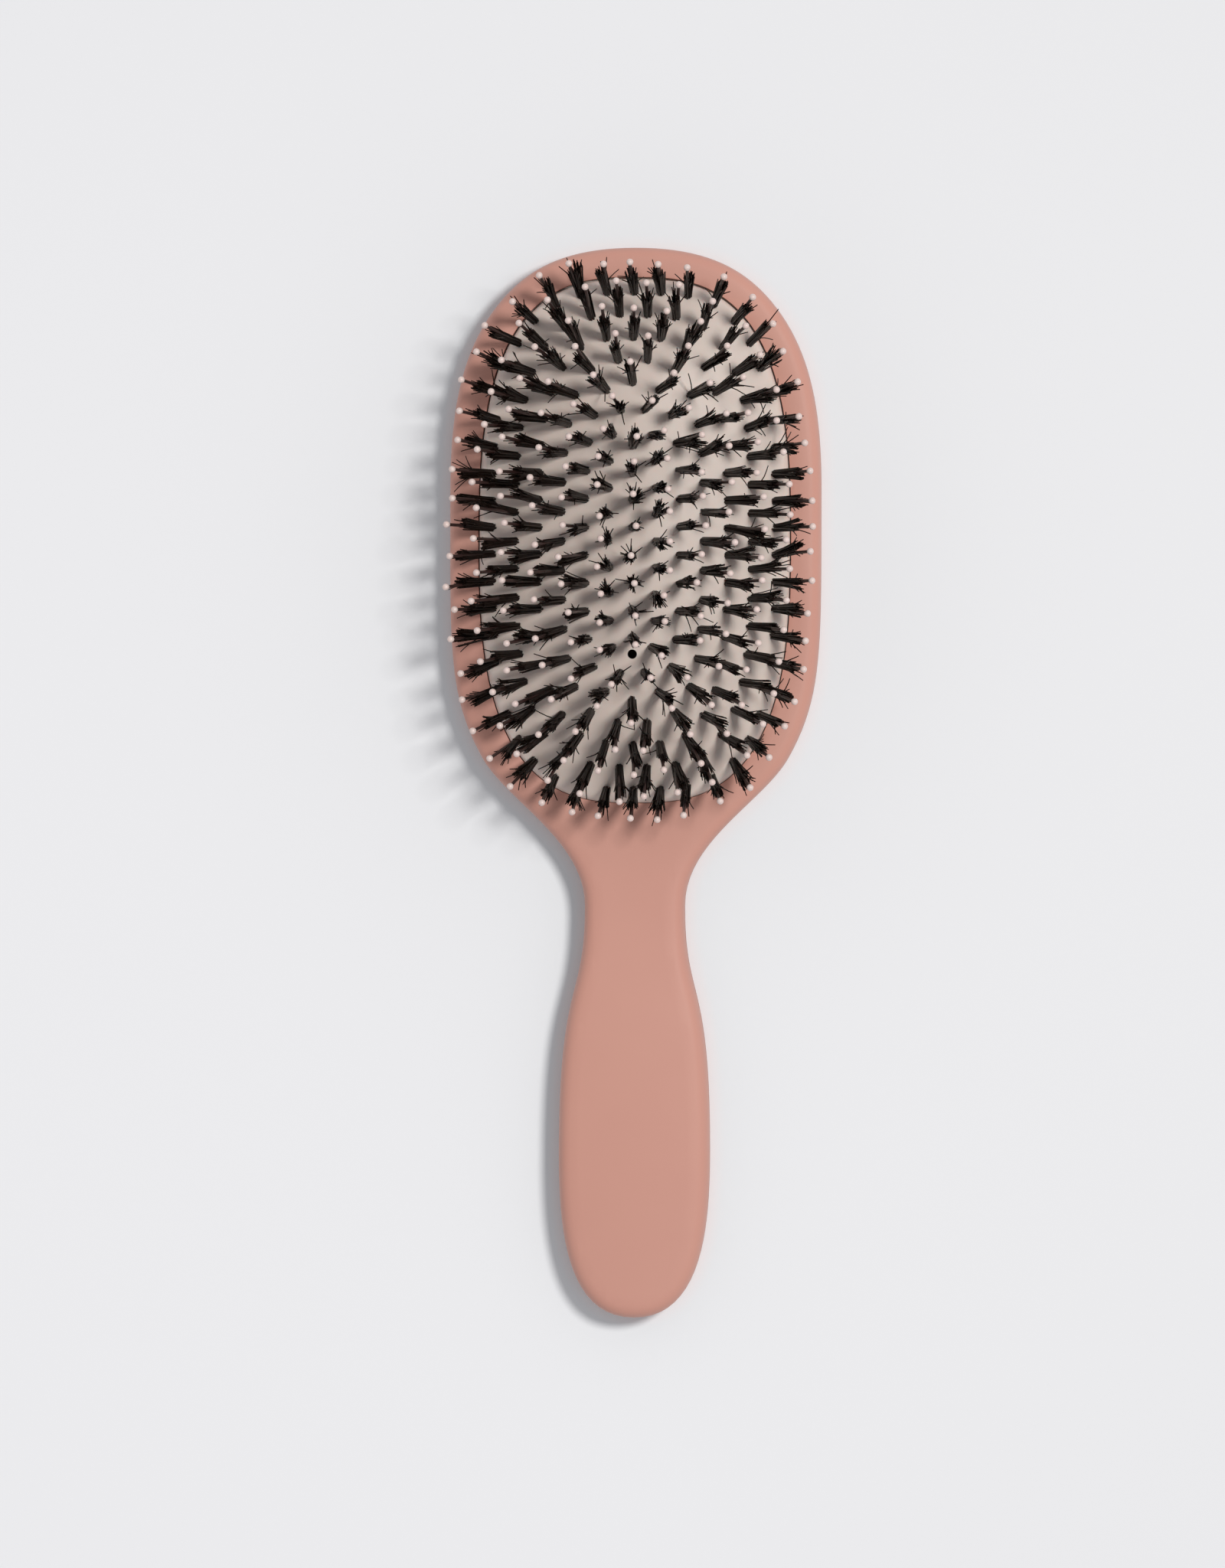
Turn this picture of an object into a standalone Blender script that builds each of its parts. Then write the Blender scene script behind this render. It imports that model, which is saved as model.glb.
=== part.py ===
# A paddle brush that smooths and styles hair. It lies on its back with the bristles up.
# The head points along +Y, the handle along -Y, and the back rests on the plane at zero.

import math

import bmesh
import bpy
from mathutils import Vector
from mathutils.geometry import interpolate_bezier

for old in list(bpy.data.objects):
    bpy.data.objects.remove(old, do_unlink=True)

# Outline of the body, seen from above. Places and pulls along it are shares of its length.
body_length = 0.240
head_half_width = 0.0416
neck_half_width = 0.01117
handle_half_width = 0.01693
head_corner_power = 2.46
shoulder_angle = 0.504
head_widest_share = 0.2738
shoulder_width_share = 0.827
shoulder_share = 0.0242
neck_share = -0.1146
handle_widest_share = -0.3442
head_side_pull_share = 0.148
shoulder_pull_shares = (0.0667, 0.0467)
neck_pull_shares = (0.0608, 0.0912)
handle_pull_shares = (0.1654, 0.0692)
handle_end_pull_share = 0.921

# How finely the outline is cut
head_arc_steps = 13
head_side_steps = 7
shoulder_steps = 5
grip_steps = 8
handle_end_steps = 8

# Thickness of the body, measured up from the back
head_thickness = 0.0120
handle_thickness = 0.0135
handle_end_thickness = 0.0125
thickening_shares = (-0.042, -0.258)
thinning_start_share = -0.358
parting_height = 0.0060
edge_rounding = 0.0046
edge_power = 3.2
edge_steps = 5

# Walls and the joint between the two shells
fit_gap = 0.0003
front_wall = 0.0022
back_floor = 0.0022
inner_corner = 0.0010
tongue_thickness = 0.0011
tongue_height = 0.0015
tongue_inset = front_wall + fit_gap
back_wall = tongue_inset + tongue_thickness

# Cushion
rim_width = 0.00685
rim_end_width = 0.00715
cushion_low_end_share = -0.0177
cushion_ridge_share = 0.43
cushion_edge_power = 2.8
tuft_ring_power = 3.2
cushion_steps = 56
cushion_edge_drop = 0.0004
cushion_shoulder_height = 0.0016
cushion_rise = 0.0083
cushion_fall_power = 1.8
cushion_shoulder_share = 0.955
cushion_top_shares = (0.05, 0.2, 0.36, 0.52, 0.68, 0.82, 0.911)
cushion_shoulder_shares = (0.0, 0.5, 0.87, 1.0)
membrane_thickness = 0.0012
membrane_inside_shares = (0.9, 0.72, 0.5, 0.28, 0.05)
neck_drawn_in = 0.0003
flange_reach = 0.0020
flange_thickness = 0.0011
vent_radius = 0.00105

# Frame and tray that clamp the cushion
frame_reach = 0.0021
frame_inset = 0.0014
frame_thickness = 0.0016
tray_thickness = 0.0014
tray_rib_width = 0.0012
tray_rib_height = 0.0013

# Tufts and pins
outer_ring_margin = 0.00315
ring_tuft_counts = (50, 42, 38, 30, 26, 22)
ring_phase_shares = (0.0, 0.5, 0.0, 0.5, 0.0, 0.5)
split_rings = 3
centre_tuft_count = 8
centre_row_share = 0.8375
pin_length = 0.0190
outer_lean = 0.0091
centre_lean = 0.00215
rightward_lean = 0.0013
lean_power = 2
lengthwise_lean_share = 0.15
end_lean_loss_share = 0.33
end_lean_loss_power = 1.2
slice_gap = 0.00035
slice_thickness = 0.0005
bundle_offset = -0.0011
bundle_base_width = 0.0017
bundle_base_depth = 0.0015
bundle_top_width = 0.0024
bundle_top_depth = 0.0019
bundle_length_share = 0.66
pin_offset = 0.0007
pin_width = 0.0008
ball_radius = 0.0008

# Posts that join the shells and hold the tray
post_radius = 0.0022
post_steps = 12
tray_post_share = 0.84
tray_post_turn_shares = (0.0, 0.18, 0.32, 0.5, 0.68, 0.82)
handle_post_shares = (-0.24, -0.42)

# Lengths and heights that follow from the sizes above
body_half_length = body_length / 2
cushion_half_width = head_half_width - rim_width
cushion_top_y = body_half_length - rim_end_width
cushion_low_y = body_length * cushion_low_end_share
cushion_y = (cushion_top_y + cushion_low_y) / 2
cushion_half_length = (cushion_top_y - cushion_low_y) / 2
cushion_ridge_half_length = cushion_half_length * cushion_ridge_share
outer_ring_half_width = cushion_half_width - outer_ring_margin
back_parting_height = parting_height - fit_gap / 2
front_parting_height = parting_height + fit_gap / 2
lip_underside = head_thickness - front_wall
flange_top = lip_underside - fit_gap
flange_underside = flange_top - flange_thickness
frame_top = flange_underside - fit_gap
frame_underside = frame_top - frame_thickness
tray_top = frame_underside - fit_gap
tray_underside = tray_top - tray_thickness
cushion_edge_height = head_thickness - cushion_edge_drop
ring_pitch = outer_ring_half_width / len(ring_tuft_counts)

smoothing_angle = math.radians(35)

parts = bpy.data.collections.new("Smoothing styling brush")
cutters = bpy.data.collections.new("Cutters")
posts = bpy.data.collections.new("Posts")
for collection in (parts, cutters, posts):
    bpy.context.scene.collection.children.link(collection)
cutters.hide_render = True
posts.hide_render = True


# Shared helpers
def material(name, colour, roughness, metallic=0.0):
    made = bpy.data.materials.new(name)
    made.use_nodes = True
    shader = made.node_tree.nodes["Principled BSDF"]
    shader.inputs["Base Color"].default_value = (*colour, 1.0)
    shader.inputs["Roughness"].default_value = roughness
    shader.inputs["Metallic"].default_value = metallic
    made.diffuse_color = (*colour, 1.0)
    return made


def object_from(mesh_builder, name, finish, origin=(0.0, 0.0, 0.0), home=parts):
    bmesh.ops.translate(mesh_builder, verts=mesh_builder.verts, vec=-Vector(origin))
    bmesh.ops.recalc_face_normals(mesh_builder, faces=mesh_builder.faces)
    mesh = bpy.data.meshes.new(name)
    mesh_builder.to_mesh(mesh)
    mesh_builder.free()
    made = bpy.data.objects.new(name, mesh)
    made.location = origin
    home.objects.link(made)
    if finish is None:
        made.display_type = "WIRE"
        made.hide_render = True
    else:
        mesh.materials.append(finish)
        mesh.shade_smooth()
        mesh.set_sharp_from_angle(angle=smoothing_angle)
    return made


def cut(target, cutter, operation="DIFFERENCE"):
    modifier = target.modifiers.new(operation.title(), "BOOLEAN")
    modifier.solver = "EXACT"
    modifier.operation = operation
    if isinstance(cutter, bpy.types.Collection):
        modifier.operand_type = "COLLECTION"
        modifier.collection = cutter
    else:
        modifier.object = cutter


def smooth_step(share):
    share = min(max(share, 0.0), 1.0)
    return share * share * (3 - 2 * share)


# Loft through rings of points. Each ring starts on the axis at the top and is symmetric,
# so its ends are closed by strips that run straight across from left to right.
def close_across(mesh_builder, ring):
    half = len(ring) // 2
    mesh_builder.faces.new((ring[0], ring[1], ring[-1]))
    for step in range(1, half - 1):
        mesh_builder.faces.new((ring[step], ring[step + 1], ring[-step - 1], ring[-step]))
    mesh_builder.faces.new((ring[half - 1], ring[half], ring[half + 1]))


def loft(rings, closed_ends=True):
    mesh_builder = bmesh.new()
    made = [[mesh_builder.verts.new(point) for point in ring] for ring in rings]
    following = made[1:] if closed_ends else made[1:] + made[:1]
    for ring, after in zip(made, following):
        for step in range(len(ring)):
            onward = (step + 1) % len(ring)
            mesh_builder.faces.new((ring[step], ring[onward], after[onward], after[step]))
    if closed_ends:
        close_across(mesh_builder, made[0])
        close_across(mesh_builder, made[-1])
    return mesh_builder


# Outline of the body, and its copies drawn in by an inset
def bezier_points(start, start_pull, end_pull, end, steps):
    points = interpolate_bezier(start, start + start_pull, end + end_pull, end, steps + 1)
    return [Vector((point.x, point.y)) for point in points[1:]]


def right_outline():
    head_widest_y = body_length * head_widest_share
    points = []
    for step in range(head_arc_steps + 1):
        turn = math.pi / 2 * step / head_arc_steps
        across = head_half_width * math.sin(turn) ** (2 / head_corner_power)
        up = (body_half_length - head_widest_y) * max(math.cos(turn), 0.0) ** (2 / head_corner_power)
        points.append(Vector((across, head_widest_y + up)))
    down = Vector((0.0, -body_length))
    side = Vector((head_half_width, head_widest_y))
    shoulder = Vector((head_half_width * shoulder_width_share, body_length * shoulder_share))
    shoulder_way = Vector((-math.sin(shoulder_angle), -math.cos(shoulder_angle))) * body_length
    neck = Vector((neck_half_width, body_length * neck_share))
    grip = Vector((handle_half_width, body_length * handle_widest_share))
    end = Vector((0.0, -body_half_length))
    end_pull = Vector((handle_half_width * handle_end_pull_share, 0.0))
    points += bezier_points(
        side,
        down * head_side_pull_share,
        -shoulder_way * shoulder_pull_shares[0],
        shoulder,
        head_side_steps,
    )
    points += bezier_points(
        shoulder,
        shoulder_way * shoulder_pull_shares[1],
        -down * neck_pull_shares[0],
        neck,
        shoulder_steps,
    )
    points += bezier_points(
        neck,
        down * neck_pull_shares[1],
        -down * handle_pull_shares[0],
        grip,
        grip_steps,
    )
    points += bezier_points(grip, down * handle_pull_shares[1], end_pull, end, handle_end_steps)
    return points


right_side = right_outline()
left_side = [Vector((-point.x, point.y)) for point in reversed(right_side[1:-1])]
outline = right_side + left_side


def outline_inset(inset):
    points = []
    for step, point in enumerate(outline):
        along = outline[(step + 1) % len(outline)] - outline[step - 1]
        outward = Vector((-along.y, along.x)).normalized()
        points.append(point - outward * inset)
    return points


def body_thickness(y):
    along = y / body_length
    start, end = thickening_shares
    thickening = smooth_step((start - along) / (start - end))
    thinning = smooth_step((thinning_start_share - along) / (thinning_start_share + 1 / 2))
    added = (handle_thickness - head_thickness) * thickening
    return head_thickness + added - (handle_thickness - handle_end_thickness) * thinning


def body_ring(inset, height):
    return [
        Vector((point.x, point.y, height(base.y)))
        for point, base in zip(outline_inset(inset), outline)
    ]


def edge_shares(step):
    turn = math.pi / 2 * step / edge_steps
    drawn_in = 1 - max(math.cos(turn), 0.0) ** (2 / edge_power)
    risen = math.sin(turn) ** (2 / edge_power)
    return drawn_in, risen


# Rings of the cushion, which are also the lines that the tufts stand on
def ring_sizes(share, reach=0.0):
    half_width = cushion_half_width * share + reach
    ridge = cushion_ridge_half_length
    half_length = ridge + (cushion_half_length - ridge) * share + reach
    outer_share = outer_ring_half_width / cushion_half_width
    towards_edge = max(0.0, (share - outer_share) / (1 - outer_share))
    power = tuft_ring_power + (cushion_edge_power - tuft_ring_power) * towards_edge
    return half_width, half_length, power


def ring_walk(share, turns, reach=0.0):
    half_width, half_length, power = ring_sizes(share, reach)
    fine_steps = 240
    quarter = []
    for step in range(fine_steps + 1):
        turn = math.pi / 2 * step / fine_steps
        across = half_width * math.sin(turn) ** (2 / power)
        up = half_length * max(math.cos(turn), 0.0) ** (2 / power)
        quarter.append(Vector((across, up)))
    lengths = [0.0]
    for before, after in zip(quarter, quarter[1:]):
        lengths.append(lengths[-1] + (after - before).length)
    stations = []
    for turn in turns:
        quarters_gone, rest = divmod(turn % 1.0 * 4, 1.0)
        mirrored = int(quarters_gone) % 2 == 1
        wanted = lengths[-1] * (1 - rest if mirrored else rest)
        step = 1
        while step < fine_steps and lengths[step] < wanted:
            step += 1
        part = (wanted - lengths[step - 1]) / (lengths[step] - lengths[step - 1])
        point = quarter[step - 1].lerp(quarter[step], min(max(part, 0.0), 1.0))
        outward_x = (point.x / half_width) ** (power - 1) / half_width
        outward_y = (point.y / half_length) ** (power - 1) / half_length
        outward = Vector((outward_x, outward_y)).normalized()
        side = 1 if quarters_gone < 2 else -1
        end = 1 if quarters_gone in (0, 3) else -1
        flip = Vector((side, end))
        stations.append((point * flip, outward * flip))
    return stations


def cushion_ring(share, height, reach=0.0):
    turns = [step / cushion_steps for step in range(cushion_steps)]
    return [
        Vector((point.x, point.y + cushion_y, height))
        for point, _ in ring_walk(share, turns, reach)
    ]


def cushion_height(share):
    beyond = max(0.0, (share - cushion_shoulder_share) / (1 - cushion_shoulder_share))
    shoulder = math.sqrt(max(0.0, 1 - beyond * beyond))
    rise = cushion_rise * (1 - min(share, 1.0) ** cushion_fall_power)
    return cushion_edge_height + cushion_shoulder_height * shoulder + rise


# Front shell: the pink half that frames the cushion
soft_touch_front = material("soft_touch_front", (0.58, 0.30, 0.24), 0.55)
rings = [
    body_ring(front_wall + inner_corner, lambda y: body_thickness(y) - front_wall),
    body_ring(front_wall, lambda y: body_thickness(y) - front_wall - inner_corner),
    body_ring(front_wall, lambda y: front_parting_height),
    body_ring(0.0, lambda y: front_parting_height),
]
for edge_step in range(1, edge_steps + 1):
    drawn_in, risen = edge_shares(edge_step)
    rings.append(
        body_ring(
            edge_rounding * drawn_in,
            lambda y, risen=risen: front_parting_height
            + (body_thickness(y) - front_parting_height) * risen,
        )
    )
front_shell = object_from(loft(rings), "front_shell", soft_touch_front)

opening_low = cushion_ring(1.0, lip_underside - front_wall, fit_gap)
opening_high = cushion_ring(1.0, head_thickness + front_wall, fit_gap)
opening = object_from(loft([opening_low, opening_high]), "cushion_opening", None, home=cutters)
cut(front_shell, opening)

# Back shell: the half that the brush lies on, with a tongue that enters the front shell
soft_touch_back = material("soft_touch_back", (0.58, 0.30, 0.24), 0.55)
tongue_top = back_parting_height + tongue_height
rings = [
    body_ring(back_wall + inner_corner, lambda y: back_floor),
    body_ring(back_wall, lambda y: back_floor + inner_corner),
    body_ring(back_wall, lambda y: tongue_top),
    body_ring(tongue_inset, lambda y: tongue_top),
    body_ring(tongue_inset, lambda y: back_parting_height),
    body_ring(0.0, lambda y: back_parting_height),
]
for edge_step in range(1, edge_steps + 1):
    drawn_in, fallen = edge_shares(edge_step)
    rings.append(
        body_ring(
            edge_rounding * drawn_in,
            lambda y, fallen=fallen: back_parting_height * (1 - fallen),
        )
    )
back_shell = object_from(loft(rings), "back_shell", soft_touch_back)


def add_post(x, y, top):
    bpy.ops.mesh.primitive_cylinder_add(
        vertices=post_steps,
        radius=post_radius,
        depth=top - back_floor / 2,
        location=(x, y, (top + back_floor / 2) / 2),
    )
    made = bpy.context.object
    made.name = "post"
    made.display_type = "WIRE"
    made.hide_render = True
    for owner in list(made.users_collection):
        owner.objects.unlink(made)
    posts.objects.link(made)


for post_place, _ in ring_walk(tray_post_share, tray_post_turn_shares):
    add_post(post_place.x, post_place.y + cushion_y, tray_underside - fit_gap)
for share in handle_post_shares:
    y = body_length * share
    add_post(0.0, y, body_thickness(y) - front_wall - fit_gap)
cut(back_shell, posts, "UNION")

# Cushion membrane: domed rubber, drawn in at its sides, with a clamping flange
rubber = material("cushion_rubber", (0.55, 0.47, 0.42), 0.5)
rings = [cushion_ring(share, cushion_height(share)) for share in cushion_top_shares]
for shoulder_share in cushion_shoulder_shares:
    share = cushion_shoulder_share + (1 - cushion_shoulder_share) * shoulder_share
    rings.append(cushion_ring(share, cushion_height(share)))
rings += [
    cushion_ring(1.0, flange_top + fit_gap, -neck_drawn_in),
    cushion_ring(1.0, flange_top, -neck_drawn_in),
    cushion_ring(1.0, flange_top, flange_reach),
    cushion_ring(1.0, flange_underside, flange_reach),
    cushion_ring(1.0, flange_underside, -neck_drawn_in - membrane_thickness),
    cushion_ring(1.0, cushion_edge_height, -neck_drawn_in - membrane_thickness),
]
rings += [
    cushion_ring(share, cushion_height(share) - membrane_thickness)
    for share in membrane_inside_shares
]
cushion_membrane = object_from(loft(rings), "cushion_membrane", rubber)

bpy.ops.mesh.primitive_cylinder_add(
    vertices=post_steps,
    radius=vent_radius,
    depth=cushion_rise + head_thickness,
    location=(0.0, cushion_y - cushion_ridge_half_length, cushion_edge_height + cushion_rise),
)
vent = bpy.context.object
vent.name = "vent"
vent.display_type = "WIRE"
vent.hide_render = True
for owner in list(vent.users_collection):
    owner.objects.unlink(vent)
cutters.objects.link(vent)
cut(cushion_membrane, vent)

# Cushion frame: presses the flange up against the lip of the front shell
inner_plastic = material("frame_plastic", (0.05, 0.045, 0.045), 0.5)
rings = [
    cushion_ring(1.0, frame_top, -frame_inset),
    cushion_ring(1.0, frame_top, frame_reach),
    cushion_ring(1.0, frame_underside, frame_reach),
    cushion_ring(1.0, frame_underside, -frame_inset),
]
cushion_frame = object_from(loft(rings, closed_ends=False), "cushion_frame", inner_plastic)

# Chamber tray: closes the air chamber, with a rib that seats the frame from inside
tray_plastic = material("tray_plastic", (0.10, 0.09, 0.09), 0.5)
rib_outer = -frame_inset - fit_gap
rib_inner = rib_outer - tray_rib_width
rings = [
    cushion_ring(1.0, tray_top, rib_inner),
    cushion_ring(1.0, tray_top + tray_rib_height, rib_inner),
    cushion_ring(1.0, tray_top + tray_rib_height, rib_outer),
    cushion_ring(1.0, tray_top, rib_outer),
    cushion_ring(1.0, tray_top, frame_reach),
    cushion_ring(1.0, tray_underside, frame_reach),
]
chamber_tray = object_from(loft(rings), "chamber_tray", tray_plastic)


# Tufts and pins. A strand has three sides and stands on a thin slice of the cushion,
# which passes along its ring from strand to strand.
def ring_stations(ring, first, count):
    share = (outer_ring_half_width - ring_pitch * ring) / cushion_half_width
    total = ring_tuft_counts[ring]
    turns = [(first + step + ring_phase_shares[ring]) / total for step in range(count)]
    width_share = 1 - ring / len(ring_tuft_counts)
    lean = outer_lean * (1 - (1 - width_share) ** lean_power)
    end_loss = end_lean_loss_share * width_share**end_lean_loss_power
    rightward = Vector((rightward_lean * (1 - width_share), 0.0))
    _, half_length, _ = ring_sizes(share)
    stations = []
    for point, outward in ring_walk(share, turns):
        lengthwise = Vector((0.0, lengthwise_lean_share * point.y / half_length))
        kept = 1 - end_loss * math.sqrt(abs(outward.y))
        tip_reach = (outward + lengthwise).normalized() * lean * kept + rightward
        stations.append((point, outward, tip_reach, share))
    return stations


def centre_stations():
    stations = []
    for step in range(centre_tuft_count):
        along = 1 - 2 * step / (centre_tuft_count - 1)
        point = Vector((0.0, cushion_ridge_half_length * centre_row_share * along))
        tip_reach = Vector((rightward_lean, centre_lean * along))
        stations.append((point, Vector((1.0, 0.0)), tip_reach, 0.0))
    return stations


def strand_sections(kind):
    if kind == "bundle":
        return [
            (0.0, bundle_base_width, bundle_base_depth),
            (bundle_length_share, bundle_top_width, bundle_top_depth),
        ]
    return [
        (0.0, pin_width, pin_width),
        (1 - 2 * ball_radius / pin_length, pin_width, pin_width),
        (1 - ball_radius / pin_length, 2 * ball_radius, 2 * ball_radius),
        (1.0, 0.0, 0.0),
    ]


def add_strand(mesh_builder, station, kind):
    point, outward, lean, share = station
    along = Vector((outward.y, -outward.x))
    offset = bundle_offset if kind == "bundle" else pin_offset
    # A bundle's wide side faces the middle of the brush and a pin's faces away from it.
    facing = -1 if kind == "bundle" else 1
    sections = strand_sections(kind)
    centre = point + outward * offset
    climb = math.sqrt(pin_length * pin_length - lean.length_squared)
    base_reach = facing * sections[0][2] / 2

    def slice_top(reach):
        here = abs(share + reach / cushion_half_width)
        return cushion_height(here) + slice_gap + slice_thickness

    wide_height = slice_top(offset + base_reach)
    narrow_height = slice_top(offset - base_reach)

    def corner(flat, height):
        return mesh_builder.verts.new((flat.x, flat.y + cushion_y, height))

    feet = (
        corner(centre + outward * base_reach, wide_height - slice_thickness),
        corner(centre - outward * base_reach, narrow_height - slice_thickness),
    )
    triangles = []
    for height_share, width, depth in sections:
        middle = centre + lean * height_share
        height = (wide_height + narrow_height) / 2 + climb * height_share
        if width == 0.0:
            triangles.append([corner(middle, height)])
            continue
        ends = (wide_height, wide_height, narrow_height) if not triangles else (height,) * 3
        reach = outward * facing * depth / 2
        places = (
            middle + reach + along * width / 2,
            middle + reach - along * width / 2,
            middle - reach,
        )
        triangles.append([corner(place, end) for place, end in zip(places, ends)])
    for lower, upper in zip(triangles, triangles[1:]):
        for step in range(3):
            onward = (step + 1) % 3
            if len(upper) == 1:
                mesh_builder.faces.new((lower[step], lower[onward], upper[0]))
            else:
                mesh_builder.faces.new((lower[step], lower[onward], upper[onward], upper[step]))
    if len(triangles[-1]) == 3:
        mesh_builder.faces.new(triangles[-1])
    return feet, triangles[0]


def strand_object(name, stations, closed, kind, finish):
    mesh_builder = bmesh.new()
    made = [add_strand(mesh_builder, station, kind) for station in stations]
    pairs = list(zip(made, made[1:]))
    if closed:
        pairs.append((made[-1], made[0]))
    for (feet, base), (next_feet, next_base) in pairs:
        wide_foot, narrow_foot = feet
        next_wide_foot, next_narrow_foot = next_feet
        ahead, _, narrow = base
        _, next_behind, next_narrow = next_base
        mesh_builder.faces.new((ahead, narrow, next_narrow, next_behind))
        mesh_builder.faces.new((wide_foot, next_wide_foot, next_narrow_foot, narrow_foot))
        mesh_builder.faces.new((narrow_foot, narrow, next_narrow, next_narrow_foot))
        mesh_builder.faces.new((wide_foot, ahead, next_behind, next_wide_foot))
    for (wide_foot, _), (ahead, behind, _) in made:
        mesh_builder.faces.new((wide_foot, ahead, behind))
    if not closed:
        (wide_foot, narrow_foot), (_, behind, narrow) = made[0]
        mesh_builder.faces.new((wide_foot, behind, narrow, narrow_foot))
        (wide_foot, narrow_foot), (ahead, _, narrow) = made[-1]
        mesh_builder.faces.new((wide_foot, ahead, narrow, narrow_foot))
    origin = (0.0, cushion_y, cushion_edge_height)
    return object_from(mesh_builder, name, finish, origin=origin)


bundle_and_pin_kinds = (
    ("bundle", "boar_tufts", (0.012, 0.009, 0.008), 0.45),
    ("pin", "ball_pins", (0.030, 0.018, 0.015), 0.35),
)
for kind, title, colour, roughness in bundle_and_pin_kinds:
    for ring, total in enumerate(ring_tuft_counts):
        if ring < split_rings:
            half = total // 2
            for side, first in (("right", 0), ("left", half)):
                name = f"{title}_ring_{ring + 1}_{side}"
                finish = material(name, colour, roughness)
                strand_object(name, ring_stations(ring, first, half), False, kind, finish)
        else:
            name = f"{title}_ring_{ring + 1}"
            finish = material(name, colour, roughness)
            strand_object(name, ring_stations(ring, 0, total), True, kind, finish)
    name = f"{title}_centre_row"
    strand_object(name, centre_stations(), False, kind, material(name, colour, roughness))
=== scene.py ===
# A paddle brush that smooths and styles hair, lying on its back with the bristles up.

import math
import random

import bpy
import numpy as np
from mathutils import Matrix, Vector


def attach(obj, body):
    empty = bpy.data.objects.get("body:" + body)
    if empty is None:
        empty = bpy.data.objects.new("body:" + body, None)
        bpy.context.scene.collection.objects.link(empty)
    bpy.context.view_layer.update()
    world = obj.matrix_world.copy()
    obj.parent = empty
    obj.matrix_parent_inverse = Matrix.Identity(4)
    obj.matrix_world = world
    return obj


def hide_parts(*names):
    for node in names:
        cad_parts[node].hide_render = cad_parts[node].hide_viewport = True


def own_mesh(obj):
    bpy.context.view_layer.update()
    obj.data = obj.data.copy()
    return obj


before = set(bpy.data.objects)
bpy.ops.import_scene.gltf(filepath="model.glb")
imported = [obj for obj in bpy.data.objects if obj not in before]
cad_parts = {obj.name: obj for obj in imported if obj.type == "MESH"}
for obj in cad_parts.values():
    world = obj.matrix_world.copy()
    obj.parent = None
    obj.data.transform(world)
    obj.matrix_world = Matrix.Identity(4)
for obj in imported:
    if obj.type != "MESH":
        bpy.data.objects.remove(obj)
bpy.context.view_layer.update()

# Camera: looks down at the brush from two metres, a touch from the right and from the
# head's end, with the handle towards the foot of the picture.
view_distance = 2.0
view_height = 0.35143
view_right = 0.105
view_ahead = 0.050
view_turn = 0.0021
picture_centre = Vector((-0.00524, 0.00002, 0.006))
bpy.ops.object.camera_add(
    location=picture_centre + Vector((view_right, view_ahead, view_distance)),
    rotation=(
        -math.atan2(view_ahead, math.hypot(view_right, view_distance)),
        math.atan2(view_right, view_distance),
        view_turn,
    ),
)
camera = bpy.context.object
camera.name = "camera"
camera.data.sensor_fit = "VERTICAL"
camera.data.lens = camera.data.sensor_height * view_distance / view_height
bpy.context.scene.camera = camera
bpy.context.scene.view_settings.view_transform = "Standard"


# Table: the smooth pale sheet that the brush lies on. It darkens a little towards the
# lamp, so that the ground of the picture comes out even from side to side, and it takes
# the shadows of the head and the pins.
def new_material(name):
    made = bpy.data.materials.new(name)
    made.use_nodes = True
    return made, made.node_tree, made.node_tree.nodes["Principled BSDF"]


table_size = 8.0
table_drop = 0.0001
ground_colour = (0.823, 0.823, 0.838)
bpy.ops.object.select_all(action="DESELECT")
bpy.ops.mesh.primitive_plane_add(size=table_size, location=(0.0, 0.0, -table_drop))
table = bpy.context.object
table.name = "table_top"
bpy.ops.object.transform_apply(location=True)
paper, tree, shader = new_material("table_paper")
shader.inputs["Roughness"].default_value = 0.9
shader.inputs["Specular IOR Level"].default_value = 0.1
paper_place = tree.nodes.new("ShaderNodeTexCoord")
towards_lamp = tree.nodes.new("ShaderNodeVectorMath")
towards_lamp.operation = "DOT_PRODUCT"
towards_lamp.inputs[1].default_value = (-0.40, -0.22, 0.0)
paper_share = tree.nodes.new("ShaderNodeMath")
paper_share.operation = "ADD"
paper_share.inputs[1].default_value = 1.0
paper_limits = tree.nodes.new("ShaderNodeClamp")
paper_limits.inputs["Min"].default_value = 0.88
paper_limits.inputs["Max"].default_value = 1.12
paper_colour = tree.nodes.new("ShaderNodeVectorMath")
paper_colour.operation = "SCALE"
paper_colour.inputs[0].default_value = ground_colour
tree.links.new(paper_place.outputs["Object"], towards_lamp.inputs[0])
tree.links.new(towards_lamp.outputs["Value"], paper_share.inputs[0])
tree.links.new(paper_share.outputs[0], paper_limits.inputs["Value"])
tree.links.new(paper_limits.outputs[0], paper_colour.inputs["Scale"])
tree.links.new(paper_colour.outputs["Vector"], shader.inputs["Base Color"])
table.data.materials.append(paper)

# Light: one round soft lamp, high on the right and a little towards the head, and an even
# pale sky that fills the shadows. Together they show a colour about as it is written.
lamp_place = Vector((0.585, 0.310, 1.385))
bpy.ops.object.light_add(type="AREA", location=lamp_place)
lamp = bpy.context.object
lamp.name = "soft_lamp"
lamp.rotation_euler = (-lamp_place).to_track_quat("-Z", "Y").to_euler()
lamp.data.shape = "DISK"
lamp.data.size = 0.28
lamp.data.energy = 14.55
lamp.data.color = (1.0, 0.997, 0.975)

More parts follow.
